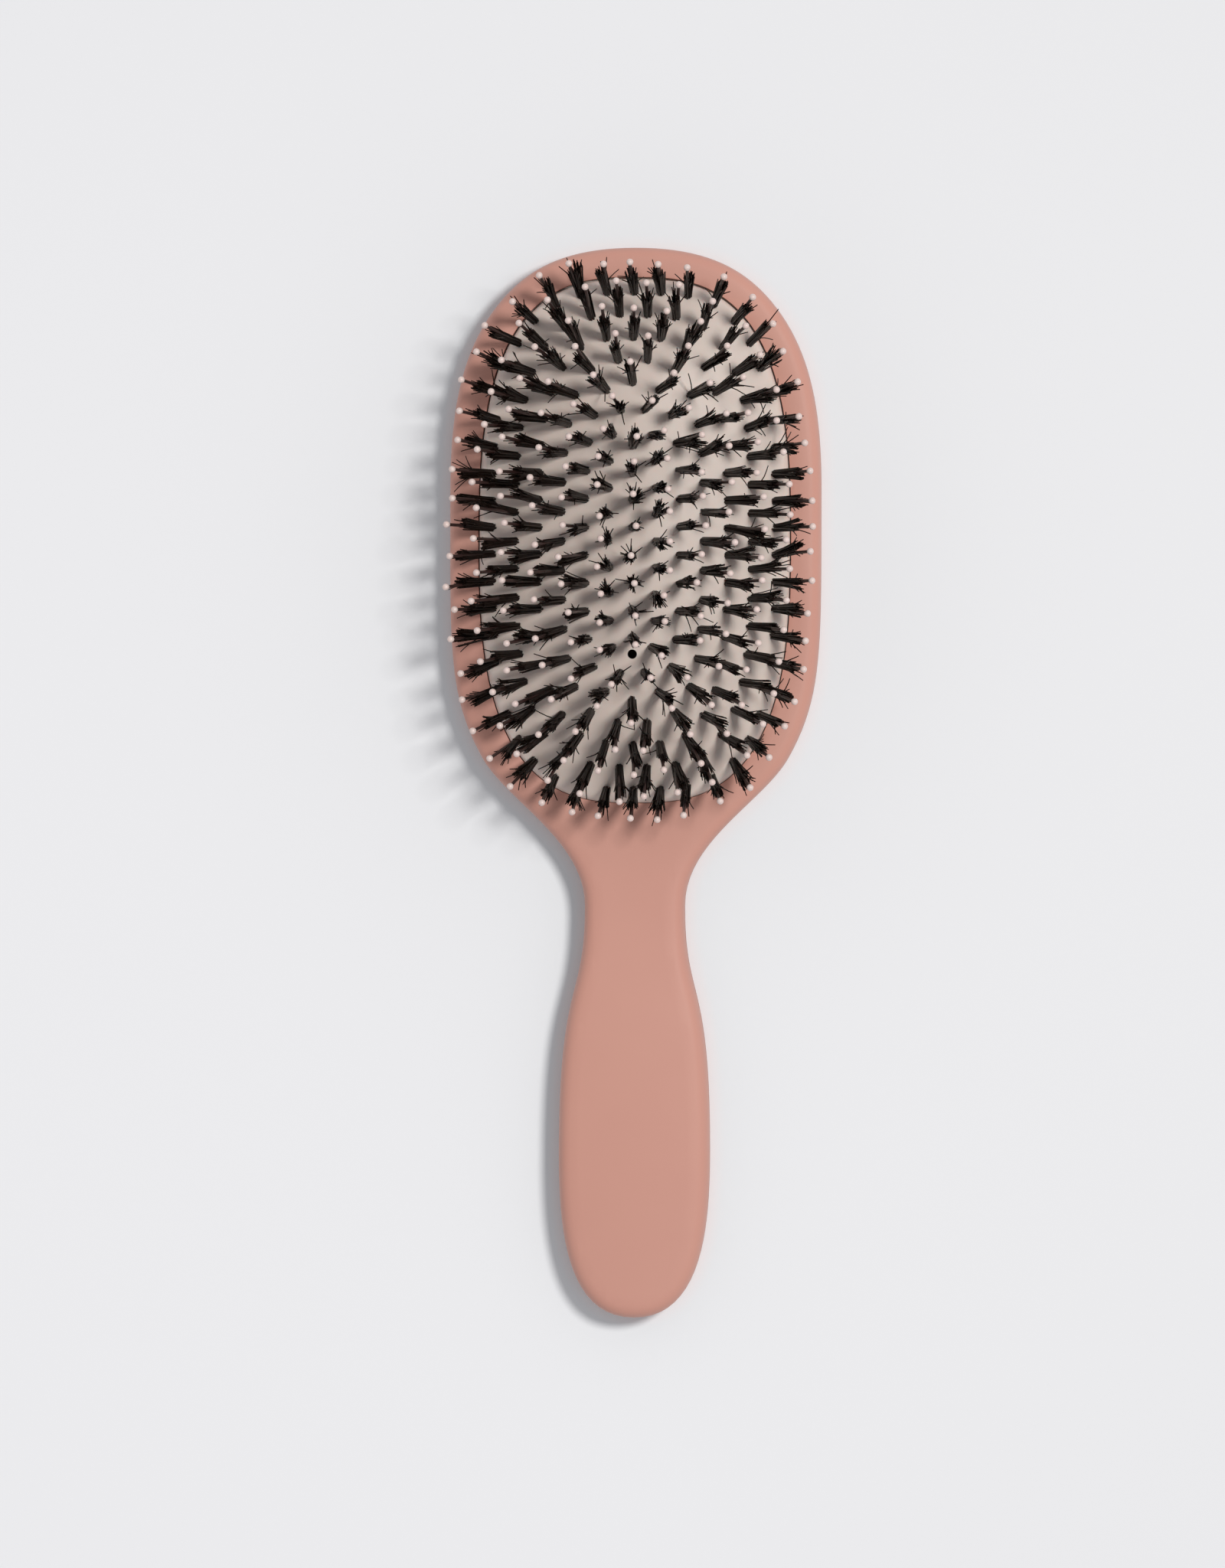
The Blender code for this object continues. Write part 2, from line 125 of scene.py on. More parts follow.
sky = bpy.data.worlds.new("pale_sky")
bpy.context.scene.world = sky
sky.use_nodes = True
sky_nodes = sky.node_tree.nodes
sky_links = sky.node_tree.links
sky_light = sky_nodes["Background"]
sky_light.inputs["Color"].default_value = (0.955, 0.955, 0.985, 1.0)
sky_light.inputs["Strength"].default_value = 0.485
sky_seen = sky_nodes.new("ShaderNodeBackground")
sky_seen.inputs["Color"].default_value = (*ground_colour, 1.0)
sky_seen.inputs["Strength"].default_value = 1.0
sky_rays = sky_nodes.new("ShaderNodeLightPath")
glossy_too = sky_nodes.new("ShaderNodeMath")
glossy_too.operation = "MAXIMUM"
through_too = sky_nodes.new("ShaderNodeMath")
through_too.operation = "MAXIMUM"
sky_mix = sky_nodes.new("ShaderNodeMixShader")
sky_links.new(sky_rays.outputs["Is Camera Ray"], glossy_too.inputs[0])
sky_links.new(sky_rays.outputs["Is Glossy Ray"], glossy_too.inputs[1])
sky_links.new(glossy_too.outputs[0], through_too.inputs[0])
sky_links.new(sky_rays.outputs["Is Transmission Ray"], through_too.inputs[1])
sky_links.new(through_too.outputs[0], sky_mix.inputs["Fac"])
sky_links.new(sky_light.outputs["Background"], sky_mix.inputs[1])
sky_links.new(sky_seen.outputs["Background"], sky_mix.inputs[2])
sky_links.new(sky_mix.outputs["Shader"], sky_nodes["World Output"].inputs["Surface"])


# Front half: the pink moulding that frames the cushion, in ABS under a matte
# soft-touch coat. It is one shell from the head to the end of the handle, with a
# lip that holds the cushion down, and it meets the back half along the parting line.
def grain_group(name):
    group = bpy.data.node_groups.new(name, "ShaderNodeTree")
    sockets = group.interface
    for title, value in (("Grains per metre", 3000.0), ("Patches per metre", 30.0)):
        made = sockets.new_socket(title, in_out="INPUT", socket_type="NodeSocketFloat")
        made.default_value = value
    sockets.new_socket("Grain", in_out="OUTPUT", socket_type="NodeSocketFloat")
    sockets.new_socket("Patches", in_out="OUTPUT", socket_type="NodeSocketFloat")
    nodes, links = group.nodes, group.links
    given = nodes.new("NodeGroupInput")
    result = nodes.new("NodeGroupOutput")
    place = nodes.new("ShaderNodeTexCoord")
    grain = nodes.new("ShaderNodeTexNoise")
    grain.inputs["Detail"].default_value = 3.0
    grain.inputs["Roughness"].default_value = 0.55
    patches = nodes.new("ShaderNodeTexNoise")
    patches.inputs["Detail"].default_value = 4.0
    patches.inputs["Roughness"].default_value = 0.5
    spread = nodes.new("ShaderNodeMapRange")
    spread.inputs["From Min"].default_value = 0.3
    spread.inputs["From Max"].default_value = 0.7
    links.new(place.outputs["Object"], grain.inputs["Vector"])
    links.new(place.outputs["Object"], patches.inputs["Vector"])
    links.new(given.outputs["Grains per metre"], grain.inputs["Scale"])
    links.new(given.outputs["Patches per metre"], patches.inputs["Scale"])
    links.new(patches.outputs["Fac"], spread.inputs["Value"])
    links.new(grain.outputs["Fac"], result.inputs["Grain"])
    links.new(spread.outputs["Result"], result.inputs["Patches"])
    return group


moulded_grain = grain_group("moulded_grain")


def grained_material(name, colours, roughness, grains, patches, bump, bump_depth):
    made, tree, shader = new_material(name)
    nodes, links = tree.nodes, tree.links
    grain = nodes.new("ShaderNodeGroup")
    grain.node_tree = moulded_grain
    grain.inputs["Grains per metre"].default_value = grains
    grain.inputs["Patches per metre"].default_value = patches
    tint = nodes.new("ShaderNodeMix")
    tint.data_type = "RGBA"
    tint.inputs[6].default_value = (*colours[0], 1.0)
    tint.inputs[7].default_value = (*colours[1], 1.0)
    dull = nodes.new("ShaderNodeMapRange")
    dull.inputs["To Min"].default_value = roughness[0]
    dull.inputs["To Max"].default_value = roughness[1]
    relief = nodes.new("ShaderNodeBump")
    relief.inputs["Strength"].default_value = bump
    relief.inputs["Distance"].default_value = bump_depth
    links.new(grain.outputs["Patches"], tint.inputs["Factor"])
    links.new(tint.outputs[2], shader.inputs["Base Color"])
    links.new(grain.outputs["Patches"], dull.inputs["Value"])
    links.new(dull.outputs["Result"], shader.inputs["Roughness"])
    links.new(grain.outputs["Grain"], relief.inputs["Height"])
    links.new(relief.outputs["Normal"], shader.inputs["Normal"])
    return made, tree, shader


soft_touch, tree, shader = grained_material(
    "soft_touch_pink",
    colours=((0.575, 0.287, 0.223), (0.553, 0.270, 0.212)),
    roughness=(0.50, 0.60),
    grains=2600.0,
    patches=22.0,
    bump=0.12,
    bump_depth=0.00004,
)
shader.inputs["Specular IOR Level"].default_value = 0.40
shader.inputs["Sheen Weight"].default_value = 0.04
shader.inputs["Sheen Roughness"].default_value = 0.5
# The coat throws grey on what lies more than 4 mm away, and pink only into its own gaps.
rays = tree.nodes.new("ShaderNodeLightPath")
far_off = tree.nodes.new("ShaderNodeMath")
far_off.operation = "GREATER_THAN"
far_off.inputs[1].default_value = 0.004
from_afar = tree.nodes.new("ShaderNodeMath")
from_afar.operation = "MULTIPLY"
thrown = tree.nodes.new("ShaderNodeMix")
thrown.data_type = "RGBA"
thrown.inputs[7].default_value = (0.34, 0.34, 0.34, 1.0)
tree.links.new(rays.outputs["Ray Length"], far_off.inputs[0])
tree.links.new(rays.outputs["Is Diffuse Ray"], from_afar.inputs[0])
tree.links.new(far_off.outputs[0], from_afar.inputs[1])
tree.links.new(from_afar.outputs[0], thrown.inputs["Factor"])
tree.links.new(shader.inputs["Base Color"].links[0].from_socket, thrown.inputs[6])
tree.links.new(thrown.outputs[2], shader.inputs["Base Color"])

# Place, pull before and pull after of each point, clockwise from the top of the head
right_side_points = (
    ((0.0, 0.120000), (-0.016016, 0.0), (0.016016, 0.0)),
    ((0.031385, 0.106670), (-0.006596, 0.008607), (0.007921, -0.010337)),
    ((0.041600, 0.065712), (0.0, 0.017314), (0.0, -0.035520)),
    ((0.034403, 0.005808), (0.007731, 0.014017), (-0.005413, -0.009814)),
    ((0.011170, -0.027504), (0.0, 0.014592), (0.0, -0.021888)),
    ((0.016930, -0.082608), (0.0, 0.039696), (0.0, -0.016608)),
    ((0.0, -0.120000), (0.015593, 0.0), (-0.015593, 0.0)),
)
outline_smoothness = 20
head_thickness = 0.0120
handle_thickness = 0.0135
handle_end_thickness = 0.0125
thickening_start = -0.01008
thickening_length = 0.05184
thinning_start = -0.08592
thinning_length = 0.03408
parting_height = 0.0060
half_parting_gap = 0.00015
rim_reach = 0.0046
rim_power = 3.6
rim_steps = 9
first_land = 0.00005
last_land = 0.0003
front_wall = 0.0022
inner_corner = 0.0010
handle_crown = 0.0009
crown_start = -0.012
crown_length = 0.045
crown_half_width = 0.0169
crosswise_cuts = 27
first_crosswise_cut = -0.0080
crosswise_cut_pitch = 0.0042
lengthwise_cuts_start = -0.0082
lengthwise_cuts = (-0.012, -0.009, -0.006, -0.003, 0.0, 0.003, 0.006, 0.009, 0.012)
parting_rounding = 0.00018
parting_rounding_steps = 2
facing_level = 0.9
sharp_angle = math.radians(60)
body_smoothing = math.radians(35)
edge_tolerance = 0.00001


def only(piece):
    bpy.ops.object.select_all(action="DESELECT")
    piece.select_set(True)
    bpy.context.view_layer.objects.active = piece


def select_faces(piece, wanted):
    bpy.ops.mesh.select_all(action="DESELECT")
    bpy.ops.object.mode_set(mode="OBJECT")
    for face in piece.data.polygons:
        face.select = bool(wanted(face))
    bpy.ops.object.mode_set(mode="EDIT")


def body_outline(name, height):
    bpy.ops.object.select_all(action="DESELECT")
    bpy.ops.curve.primitive_bezier_circle_add(radius=1.0, location=(0.0, 0.0, 0.0))
    drawn = bpy.context.object
    drawn.name = name
    drawn.data.resolution_u = outline_smoothness
    left_side_points = [
        ((-x, y), (-after[0], after[1]), (-before[0], before[1]))
        for (x, y), before, after in reversed(right_side_points[1:-1])
    ]
    points = list(right_side_points) + left_side_points
    spline = drawn.data.splines[0]
    spline.bezier_points.add(len(points) - len(spline.bezier_points))
    for point, ((x, y), before, after) in zip(spline.bezier_points, points):
        point.handle_left_type = "FREE"
        point.handle_right_type = "FREE"
        point.co = (x, y, height)
        point.handle_left = (x + before[0], y + before[1], height)
        point.handle_right = (x + after[0], y + after[1], height)
    only(drawn)
    bpy.ops.object.convert(target="MESH")
    return bpy.context.object


def smooth_step(share):
    share = min(max(share, 0.0), 1.0)
    return share * share * (3 - 2 * share)


def body_thickness(y):
    thickening = smooth_step((thickening_start - y) / thickening_length)
    thinning = smooth_step((thinning_start - y) / thinning_length)
    added = (handle_thickness - head_thickness) * thickening
    return head_thickness + added - (handle_thickness - handle_end_thickness) * thinning


def inset_edge(rise):
    drawn, risen = 0.0, 0.0
    for step in range(1, rim_steps + 1):
        turn = math.pi / 2 * step / rim_steps
        inward = rim_reach * (1 - max(math.cos(turn), 0.0) ** (2 / rim_power))
        upward = rise * math.sin(turn) ** (2 / rim_power)
        bpy.ops.mesh.inset(thickness=inward - drawn, depth=upward - risen)
        drawn, risen = inward, upward
    bpy.ops.mesh.inset(thickness=last_land, depth=0.0)


def cut_up_handle(piece):
    for step in range(crosswise_cuts):
        bpy.ops.mesh.select_all(action="SELECT")
        height = first_crosswise_cut - crosswise_cut_pitch * step
        bpy.ops.mesh.bisect(plane_co=(0.0, height, 0.0), plane_no=(0.0, 1.0, 0.0))
    for place in lengthwise_cuts:
        select_faces(
            piece,
            lambda face: face.center.y < lengthwise_cuts_start and abs(face.normal.z) > facing_level,
        )
        bpy.ops.mesh.bisect(plane_co=(place, 0.0, 0.0), plane_no=(1.0, 0.0, 0.0))


front_foot = parting_height + half_parting_gap
front_half = body_outline("front_half", front_foot)
front_rise = head_thickness - parting_height - half_parting_gap
bpy.ops.object.mode_set(mode="EDIT")
bpy.ops.mesh.select_all(action="SELECT")
bpy.ops.mesh.edge_face_add()
bpy.ops.mesh.extrude_region_move(TRANSFORM_OT_translate={"value": (0.0, 0.0, first_land)})
bpy.ops.mesh.select_all(action="SELECT")
bpy.ops.mesh.normals_make_consistent(inside=False)
select_faces(front_half, lambda face: face.normal.z > facing_level)
inset_edge(front_rise - first_land)
underside_limit = parting_height + 2 * half_parting_gap
select_faces(
    front_half,
    lambda face: face.normal.z < -facing_level and face.center.z < underside_limit,
)
bpy.ops.mesh.inset(thickness=front_wall, depth=0.0)
inner_rise = front_rise - front_wall - inner_corner
bpy.ops.mesh.extrude_region_move(TRANSFORM_OT_translate={"value": (0.0, 0.0, inner_rise)})
bpy.ops.mesh.inset(thickness=inner_corner, depth=-inner_corner)
cut_up_handle(front_half)
bpy.ops.object.mode_set(mode="OBJECT")
for point in front_half.data.vertices:
    raised = (point.co.z - front_foot) / (head_thickness - front_foot)
    here = body_thickness(point.co.y)
    crown = handle_crown * smooth_step((crown_start - point.co.y) / crown_length)
    across = min(abs(point.co.x) / crown_half_width, 1.0)
    point.co.z = front_foot + raised * (here - front_foot - crown * across * across)

# The opening for the cushion is a cut that stands its gap clear of the cushion's edge. The
# gap is widest at the head's end and closes up towards the handle.
cushion_half_width = 0.03475
cushion_half_length = 0.058549
cushion_ridge = 0.025176
cushion_y = 0.054301
outer_ring_share = 0.90935
tuft_ring_power = 3.2
cushion_edge_power = 2.8
ring_walk_steps = 241
opening_steps = 192
opening_reach = 0.00025
opening_shift = 0.00019
opening_foot = 0.0085
opening_top = 0.0160
opening_rounding = 0.00014
opening_rounding_steps = 3


def ring_walk(share, turns, reach=0.0):
    half_width = cushion_half_width * share + reach
    half_length = cushion_ridge + (cushion_half_length - cushion_ridge) * share + reach
    towards_edge = max(0.0, (share - outer_ring_share) / (1 - outer_ring_share))
    power = tuft_ring_power + (cushion_edge_power - tuft_ring_power) * min(towards_edge, 1.0)
    fine = np.linspace(0.0, math.pi / 2, ring_walk_steps)
    across = half_width * np.sin(fine) ** (2 / power)
    up = half_length * np.maximum(np.cos(fine), 0.0) ** (2 / power)
    lengths = np.concatenate(([0.0], np.cumsum(np.hypot(np.diff(across), np.diff(up)))))
    stations = []
    for turn in turns:
        quarters_gone, rest = divmod(turn % 1.0 * 4, 1.0)
        mirrored = int(quarters_gone) % 2 == 1
        wanted = lengths[-1] * (1 - rest if mirrored else rest)
        x = float(np.interp(wanted, lengths, across))
        y = float(np.interp(wanted, lengths, up))
        outward = Vector(
            (
                (x / half_width) ** (power - 1) / half_width,
                (y / half_length) ** (power - 1) / half_length,
            )
        ).normalized()
        side = 1 if quarters_gone < 2 else -1
        end = 1 if quarters_gone in (0, 3) else -1
        stations.append(
            (Vector((x * side, y * end + cushion_y)), Vector((outward.x * side, outward.y * end)))
        )
    return stations


def cushion_prism(name, steps, reach, low, high):
    bpy.ops.object.select_all(action="DESELECT")
    bpy.ops.mesh.primitive_circle_add(
        vertices=steps, radius=cushion_half_width, fill_type="NGON", location=(0.0, 0.0, 0.0)
    )
    made = bpy.context.object
    made.name = name
    for point in made.data.vertices:
        turn = math.atan2(point.co.x, point.co.y) / (2 * math.pi)
        place, _ = ring_walk(1.0, (turn,), reach)[0]
        point.co = (place.x, place.y, low)
    bpy.ops.object.mode_set(mode="EDIT")
    bpy.ops.mesh.select_all(action="SELECT")
    bpy.ops.mesh.extrude_region_move(TRANSFORM_OT_translate={"value": (0.0, 0.0, high - low)})
    bpy.ops.mesh.select_all(action="SELECT")
    bpy.ops.mesh.normals_make_consistent(inside=False)
    bpy.ops.object.mode_set(mode="OBJECT")
    return made


def combine(piece, shape, operation):
    only(piece)
    bpy.ops.object.modifier_add(type="BOOLEAN")
    modifier = piece.modifiers[-1]
    modifier.solver = "EXACT"
    modifier.operation = operation
    modifier.object = shape
    bpy.ops.object.modifier_apply(modifier=modifier.name)
    bpy.data.objects.remove(shape, do_unlink=True)


def bevel_sharp(piece, width, segments, wanted):
    only(piece)
    bpy.ops.object.mode_set(mode="EDIT")
    bpy.ops.mesh.select_mode(type="EDGE")
    bpy.ops.mesh.select_all(action="DESELECT")
    bpy.ops.mesh.edges_select_sharp(sharpness=sharp_angle)
    bpy.ops.object.mode_set(mode="OBJECT")
    points = piece.data.vertices
    for edge in piece.data.edges:
        first, second = (points[index].co for index in edge.vertices)
        edge.select = edge.select and wanted(first) and wanted(second)
    bpy.ops.object.mode_set(mode="EDIT")
    bpy.ops.mesh.bevel(offset=width, segments=segments, affect="EDGES")
    bpy.ops.mesh.select_mode(type="FACE")
    bpy.ops.object.mode_set(mode="OBJECT")


cutter = cushion_prism("opening_cut", opening_steps, opening_reach, opening_foot, opening_top)
cutter.location.y = opening_shift
combine(front_half, cutter, "DIFFERENCE")
bevel_sharp(
    front_half,
    opening_rounding,
    opening_rounding_steps,
    lambda place: place.z > head_thickness - edge_tolerance,
)
bevel_sharp(
    front_half,
    parting_rounding,
    parting_rounding_steps,
    lambda place: place.z < front_foot + edge_tolerance,
)
bpy.ops.object.shade_smooth_by_angle(angle=body_smoothing)
front_half.data.materials.append(soft_touch)
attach(front_half, "brush_body")
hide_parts("front_shell")

# Back half: the other pink moulding, flat where the brush lies on it. A tongue round
# its edge enters the front half, and posts inside it hold the tray and the handle.
back_floor = 0.0022
tongue_inset = 0.0025
tongue_thickness = 0.0011
tongue_height = 0.0015
post_radius = 0.0022
post_steps = 24
tray_post_share = 0.84
tray_post_turns = (0.0, 0.18, 0.32, 0.5, 0.68, 0.82)
tray_post_top = 0.0045
handle_post_places = (-0.0576, -0.1008)
post_gap = 0.0003
back_drop = parting_height - half_parting_gap
back_half = body_outline("back_half", back_drop)
bpy.ops.object.mode_set(mode="EDIT")
bpy.ops.mesh.select_all(action="SELECT")
bpy.ops.mesh.edge_face_add()
bpy.ops.mesh.extrude_region_move(TRANSFORM_OT_translate={"value": (0.0, 0.0, -first_land)})
bpy.ops.mesh.select_all(action="SELECT")
bpy.ops.mesh.normals_make_consistent(inside=False)
select_faces(back_half, lambda face: face.normal.z < -facing_level)
inset_edge(back_drop - first_land)
select_faces(back_half, lambda face: face.normal.z > facing_level)
bpy.ops.mesh.inset(thickness=tongue_inset, depth=0.0)
bpy.ops.mesh.extrude_region_move(TRANSFORM_OT_translate={"value": (0.0, 0.0, tongue_height)})
bpy.ops.mesh.inset(thickness=tongue_thickness, depth=0.0)
inner_drop = back_drop + tongue_height - back_floor - inner_corner
bpy.ops.mesh.extrude_region_move(TRANSFORM_OT_translate={"value": (0.0, 0.0, -inner_drop)})
bpy.ops.mesh.inset(thickness=inner_corner, depth=-inner_corner)
bpy.ops.object.mode_set(mode="OBJECT")
bevel_sharp(
    back_half,
    parting_rounding,
    parting_rounding_steps,
    lambda place: abs(place.z - back_drop) < edge_tolerance,
)


def join_post(piece, x, y, top):
    bpy.ops.object.select_all(action="DESELECT")
    bpy.ops.mesh.primitive_cylinder_add(
        vertices=post_steps,
        radius=post_radius,
        depth=top - back_floor / 2,
        location=(x, y, (top + back_floor / 2) / 2),
    )
    post = bpy.context.object
    bpy.ops.object.transform_apply(location=True)
    combine(piece, post, "UNION")


for place, _ in ring_walk(tray_post_share, tray_post_turns):
    join_post(back_half, place.x, place.y, tray_post_top)
for y in handle_post_places:
    join_post(back_half, 0.0, y, body_thickness(y) - front_wall - handle_crown - post_gap)
bpy.ops.object.shade_smooth_by_angle(angle=body_smoothing)
back_half.data.materials.append(soft_touch)
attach(back_half, "brush_body")
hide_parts("back_shell")

# Chamber tray and cushion frame: dark moulded plates inside the head. The tray closes
# the air chamber, and the frame on it presses the cushion's flange up against the lip.
inner_plastic, _, _ = grained_material(
    "inner_plastic",
    colours=((0.050, 0.045, 0.045), (0.072, 0.066, 0.066)),
    roughness=(0.42, 0.55),
    grains=4000.0,
    patches=60.0,
    bump=0.15,
    bump_depth=0.00003,
)
for name in ("cushion_frame", "chamber_tray"):
    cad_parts[name].material_slots[0].material = inner_plastic

# Cushion: a dome of soft greige rubber with drawn-in sides, full of air. It is moulded
# in one with its flange and has a small vent hole on the axis towards the handle.
cushion_edge_height = 0.0116
cushion_shoulder_height = 0.0016
cushion_rise = 0.0083
cushion_fall_power = 1.8
cushion_shoulder_share = 0.955
cushion_skin = 0.0012
cushion_neck_inset = 0.0003
cushion_neck_top = 0.0112
cushion_neck_foot = 0.00955
cushion_steps = 192
rubber_smoothing = math.radians(40)
vent_radius = 0.00105
vent_steps = 28
vent_cut_length = 0.012
vent_cut_height = 0.0215
# The two shares past 1 are the foot and the top of the neck under the dome.
cushion_ring_shares = (
    1.08, 1.04, 1.0, 0.9985, 0.995, 0.990, 0.983, 0.974, 0.965, 0.955, 0.94, 0.92, 0.89, 0.85,
    0.80, 0.74, 0.68, 0.61, 0.54, 0.47, 0.40, 0.33, 0.26, 0.19, 0.12, 0.06, 0.02,
)


def cushion_height(share):
    share = abs(share)
    beyond = max(0.0, (share - cushion_shoulder_share) / (1 - cushion_shoulder_share))
    shoulder = math.sqrt(max(0.0, 1 - beyond * beyond))
    rise = cushion_rise * (1 - min(share, 1.0) ** cushion_fall_power)
    return cushion_edge_height + cushion_shoulder_height * shoulder + rise


bpy.ops.object.select_all(action="DESELECT")
bpy.ops.mesh.primitive_circle_add(
    vertices=cushion_steps, radius=cushion_ring_shares[0], fill_type="NGON", location=(0.0, 0.0, 0.0)
)
cushion = bpy.context.object
cushion.name = "air_cushion"
bpy.ops.object.mode_set(mode="EDIT")
bpy.ops.mesh.select_all(action="SELECT")
for before, after in zip(cushion_ring_shares, cushion_ring_shares[1:]):
    bpy.ops.mesh.inset(thickness=before - after, depth=0.0, use_even_offset=False)
bpy.ops.object.mode_set(mode="OBJECT")
for point in cushion.data.vertices:
    share = min(cushion_ring_shares, key=lambda known: abs(known - point.co.to_2d().length))
    turn = math.atan2(point.co.x, point.co.y) / (2 * math.pi)
    if share > 1.0:
        place, _ = ring_walk(1.0, (turn,), -cushion_neck_inset)[0]
        height = cushion_neck_top if share == cushion_ring_shares[1] else cushion_neck_foot
    else:
        place, _ = ring_walk(share, (turn,))[0]
        height = cushion_height(share)
    point.co = (place.x, place.y, height)
bpy.ops.object.modifier_add(type="SOLIDIFY")
cushion.modifiers[-1].thickness = cushion_skin
cushion.modifiers[-1].offset = -1.0
bpy.ops.object.modifier_apply(modifier=cushion.modifiers[-1].name)
bpy.ops.object.select_all(action="DESELECT")
bpy.ops.mesh.primitive_cylinder_add(
    vertices=vent_steps,
    radius=vent_radius,
    depth=vent_cut_length,
    location=(0.0, cushion_y - cushion_ridge, vent_cut_height),
)
combine(cushion, bpy.context.object, "DIFFERENCE")
bpy.ops.object.shade_smooth_by_angle(angle=rubber_smoothing)
rubber, _, shader = grained_material(
    "greige_rubber",
    colours=((0.690, 0.576, 0.512), (0.667, 0.556, 0.494)),
    roughness=(0.46, 0.56),
    grains=3200.0,
    patches=45.0,
    bump=0.15,
    bump_depth=0.00004,
)
shader.inputs["Specular IOR Level"].default_value = 0.55
shader.inputs["Subsurface Weight"].default_value = 0.35
shader.inputs["Subsurface Radius"].default_value = (1.0, 0.40, 0.28)
shader.inputs["Subsurface Scale"].default_value = 0.0012
cushion.data.materials.append(rubber)
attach(cushion, "brush_body")
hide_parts("cushion_membrane")
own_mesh(cushion)

# Cushion flange: the flat edge of the same rubber moulding, clamped all round between
# the lip of the front half and the frame.
flange_reach = 0.0020
flange_underside = 0.0084
flange_top = 0.0095
flange_steps = 144
bpy.ops.object.select_all(action="DESELECT")
bpy.ops.mesh.primitive_torus_add(
    major_segments=flange_steps,
    minor_segments=4,
    major_radius=1.0,
    minor_radius=0.1,
    location=(0.0, 0.0, 0.0),
)
flange = bpy.context.object
flange.name = "cushion_flange"
for point in flange.data.vertices:
    turn = math.atan2(point.co.x, point.co.y) / (2 * math.pi)
    corner = round(math.atan2(point.co.z, point.co.to_2d().length - 1.0) / (math.pi / 2)) % 4
    reach = flange_reach if corner in (0, 1) else -cushion_neck_inset - cushion_skin
    place, _ = ring_walk(1.0, (turn,), reach)[0]
    point.co = (place.x, place.y, flange_top if corner in (1, 2) else flange_underside)
bpy.ops.object.mode_set(mode="EDIT")
bpy.ops.mesh.select_all(action="SELECT")
bpy.ops.mesh.normals_make_consistent(inside=False)
bpy.ops.object.mode_set(mode="OBJECT")
bpy.ops.object.shade_smooth_by_angle(angle=rubber_smoothing)
flange.data.materials.append(rubber)
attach(flange, "brush_body")
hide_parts("cushion_membrane")

# Boar-bristle bundles: some dozens of black boar hairs in each tuft, folded at the root
# and drawn into a hole in the rubber. They flare a little and split at their ragged
# ends, and a few hairs stray. Each ring of tufts sinks with the cushion under it.
ring_tuft_counts = (50, 42, 38, 30, 26, 22)
ring_phase_shares = (0.0, 0.5, 0.0, 0.5, 0.0, 0.5)
ring_pitch_share = outer_ring_share / len(ring_tuft_counts)
centre_tuft_count = 8
centre_row_half_length = 0.021085
pin_reach = 0.01985
outer_lean = 0.0091
centre_lean = 0.00215
rightward_lean = 0.0013
lean_power = 2
lengthwise_lean_share = 0.15
end_lean_loss_share = 0.33
end_lean_loss_power = 1.2
tip_scatter = 0.00052
bristle_smoothing = math.radians(60)
chance = random.Random(7)


def clipped(width):
    return min(max(chance.gauss(0.0, width), -2 * width), 2 * width)


def tuft(place, lean, share):
    foot = Vector((place.x, place.y, cushion_height(share)))
    lean = lean + Vector((clipped(tip_scatter), clipped(tip_scatter)))
    climb = math.sqrt(pin_reach * pin_reach - lean.length_squared)
    axis = Vector((lean.x, lean.y, climb)).normalized()
    side = axis.cross(Vector((0.0, 1.0, 0.0))).normalized()
    return foot, axis, side, axis.cross(side)


tufts = {}
for ring, total in enumerate(ring_tuft_counts):
    share = outer_ring_share - ring_pitch_share * ring
    width_share = 1 - ring / len(ring_tuft_counts)
    lean = outer_lean * (1 - (1 - width_share) ** lean_power)
    end_loss = end_lean_loss_share * width_share**end_lean_loss_power
    rightward = Vector((rightward_lean * (1 - width_share), 0.0))
    half_length = cushion_ridge + (cushion_half_length - cushion_ridge) * share
    turns = [(step + ring_phase_shares[ring]) / total for step in range(total)]
    places = []
    for place, outward in ring_walk(share, turns):
        lengthwise = Vector((0.0, lengthwise_lean_share * (place.y - cushion_y) / half_length))
        kept = 1 - end_loss * math.sqrt(abs(outward.y))
        tip_reach = (outward + lengthwise).normalized() * lean * kept + rightward
        places.append(tuft(place, tip_reach, share))
    tufts[f"tuft_ring_{ring + 1}"] = places
tufts["tuft_centre_row"] = [
    tuft(
        Vector((0.0, cushion_y + centre_row_half_length * along)),
        Vector((rightward_lean, centre_lean * along)),
        0.0,
    )
    for along in (1 - 2 * step / (centre_tuft_count - 1) for step in range(centre_tuft_count))
]


def pattern(piece):
    only(piece)
    bpy.ops.object.transform_apply(location=True, rotation=True, scale=True)
    places = np.array([tuple(point.co) for point in piece.data.vertices])
    faces = [tuple(face.vertices) for face in piece.data.polygons]
    bpy.data.objects.remove(piece, do_unlink=True)
    return places, faces


def copies_joined(name, faces, copies, finish):
    points = np.concatenate(copies)
    step = len(copies[0])
    all_faces = [
        tuple(index + step * number for index in face)
        for number in range(len(copies))
        for face in faces
    ]
    mesh = bpy.data.meshes.new(name)
    mesh.from_pydata(points.tolist(), [], all_faces)
    mesh.update()
    piece = bpy.data.objects.new(name, mesh)
    bpy.context.collection.objects.link(piece)
    mesh.materials.append(finish)
    only(piece)
    bpy.ops.object.shade_smooth_by_angle(angle=bristle_smoothing)
    return piece


